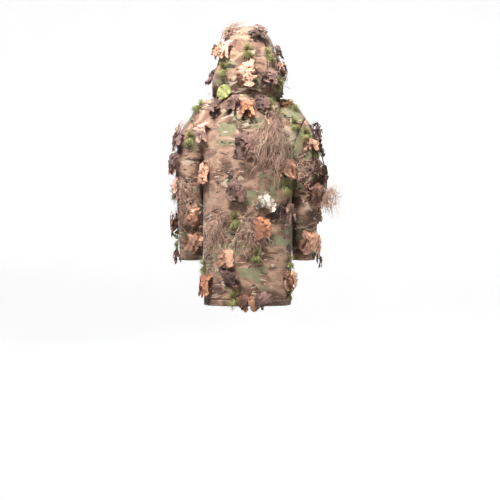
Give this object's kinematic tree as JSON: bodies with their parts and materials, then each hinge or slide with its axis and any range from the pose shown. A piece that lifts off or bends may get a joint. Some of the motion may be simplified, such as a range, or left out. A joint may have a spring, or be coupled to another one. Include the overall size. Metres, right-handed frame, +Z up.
{
  "type": "ghillie jacket",
  "caption": "Hooded ghillie jacket of camouflage cloth with cut-out oak leaves, grass and raffia tufts, front zip, flap pockets and elastic cuffs.",
  "frame": {"origin": "centre of the neck seam, where the jacket hangs on the wearer's shoulders", "axes": "+Z up, -Y to the wearer's front, +X to the wearer's left"},
  "size_m": [0.7116, 0.3505, 1.1871],
  "materials": {
    "camouflage_cloth": "printed camouflage in brown, tan and green, fine weave",
    "hem_cloth": "the same cloth, folded and stitched",
    "tan_leaf": "die-cut cloth oak leaf, tan to rust",
    "brown_leaf": "die-cut cloth oak leaf, dark brown",
    "grass": "soft artificial grass blades",
    "raffia": "frayed jute and raffia strands",
    "tape": "woven tape",
    "zip_teeth": "moulded teeth",
    "zip_metal": "matt painted zip metal",
    "button": "moulded button",
    "label": "blank woven label"
  },
  "bodies": {
    "jacket_body": {"back_panel": "camouflage_cloth", "side_panel_left": "camouflage_cloth", "side_panel_right": "camouflage_cloth", "yoke_left": "camouflage_cloth", "yoke_right": "camouflage_cloth", "hem_back": "hem_cloth", "neck_binding": "tape", "neck_label": "label", "hanger_loop": "tape", "zip_tape_upper": "tape", "zip_teeth_upper": "zip_teeth", "zip_slider_upper": "zip_metal", "body_tan_leaves": "tan_leaf", "body_brown_leaves": "brown_leaf", "body_grass": "grass", "body_raffia": "raffia"},
    "upper_pull": {"zip_pull_upper": "zip_metal"},
    "left_front": {"front_left": "camouflage_cloth", "hem_left": "hem_cloth", "zip_tape_left": "tape", "zip_teeth_left": "zip_teeth", "pocket_left": "camouflage_cloth", "front_left_leaves": "tan_leaf", "front_left_grass": "grass"},
    "right_front": {"front_right": "camouflage_cloth", "hem_right": "hem_cloth", "zip_tape_right": "tape", "zip_teeth_right": "zip_teeth", "pocket_right": "camouflage_cloth", "front_right_leaves": "brown_leaf", "front_right_grass": "grass"},
    "zip_slider": {"zip_slider_lower": "zip_metal"},
    "lower_pull": {"zip_pull_lower": "zip_metal"},
    "left_flap": {"pocket_flap_left": "camouflage_cloth", "flap_button_left": "button"},
    "right_flap": {"pocket_flap_right": "camouflage_cloth", "flap_button_right": "button"},
    "left_sleeve": {"sleeve_left": "camouflage_cloth", "cuff_left": "hem_cloth", "sleeve_left_leaves": "tan_leaf", "sleeve_left_grass": "grass", "sleeve_left_raffia": "raffia"},
    "right_sleeve": {"sleeve_right": "camouflage_cloth", "cuff_right": "hem_cloth", "sleeve_right_leaves": "brown_leaf", "sleeve_right_grass": "grass", "sleeve_right_raffia": "raffia"},
    "hood": {"hood_side_left": "camouflage_cloth", "hood_crown": "camouflage_cloth", "hood_side_right": "camouflage_cloth", "hood_brim": "hem_cloth", "hood_tan_leaves": "tan_leaf", "hood_brown_leaves": "brown_leaf", "hood_grass": "grass", "hood_raffia": "raffia"}
  },
  "joints": [
    {"name": "left_sleeve_raise", "type": "hinge", "parent": "jacket_body", "child": "left_sleeve", "pos_m": [0.232, 0, -0.08], "axis": [0, -1, 0], "range_deg": [0, 65]},
    {"name": "right_sleeve_raise", "type": "hinge", "parent": "jacket_body", "child": "right_sleeve", "pos_m": [-0.232, 0, -0.08], "axis": [0, 1, 0], "range_deg": [0, 65]},
    {"name": "hood_fold_back", "type": "hinge", "parent": "jacket_body", "child": "hood", "pos_m": [0, 0.09687, 0.01622], "axis": [-1, 0, 0], "range_deg": [0, 50]},
    {"name": "left_front_open", "type": "hinge", "parent": "jacket_body", "child": "left_front", "pos_m": [0.169, -0.075, -0.55], "axis": [0, 0, 1], "range_deg": [0, 30]},
    {"name": "right_front_open", "type": "hinge", "parent": "jacket_body", "child": "right_front", "pos_m": [-0.169, -0.075, -0.55], "axis": [0, 0, -1], "range_deg": [0, 30]},
    {"name": "zip_slide", "type": "slide", "parent": "jacket_body", "child": "zip_slider", "axis": [0, 0.0169, 0.9999], "range_m": [0, 0.555]},
    {"name": "lower_pull_swing", "type": "hinge", "parent": "zip_slider", "child": "lower_pull", "pos_m": [0, -0.14199, -0.8404], "axis": [-1, 0, 0], "range_deg": [0, 150]},
    {"name": "upper_pull_swing", "type": "hinge", "parent": "jacket_body", "child": "upper_pull", "pos_m": [0, -0.10462, -0.0275], "axis": [-1, 0, 0], "range_deg": [0, 150]},
    {"name": "left_flap_lift", "type": "hinge", "parent": "left_front", "child": "left_flap", "pos_m": [0.08182, -0.12661, -0.578], "axis": [-0.9702, -0.2421, 0], "range_deg": [0, 100]},
    {"name": "right_flap_lift", "type": "hinge", "parent": "right_front", "child": "right_flap", "pos_m": [-0.08182, -0.12661, -0.578], "axis": [-0.9702, 0.2421, 0], "range_deg": [0, 100]}
  ],
  "couplings": [
    {"joint": "right_front_open", "follows": "left_front_open", "ratio": 1},
    {"joint": "zip_slide", "follows": "left_front_open", "m_per_rad": 1.05}
  ]
}
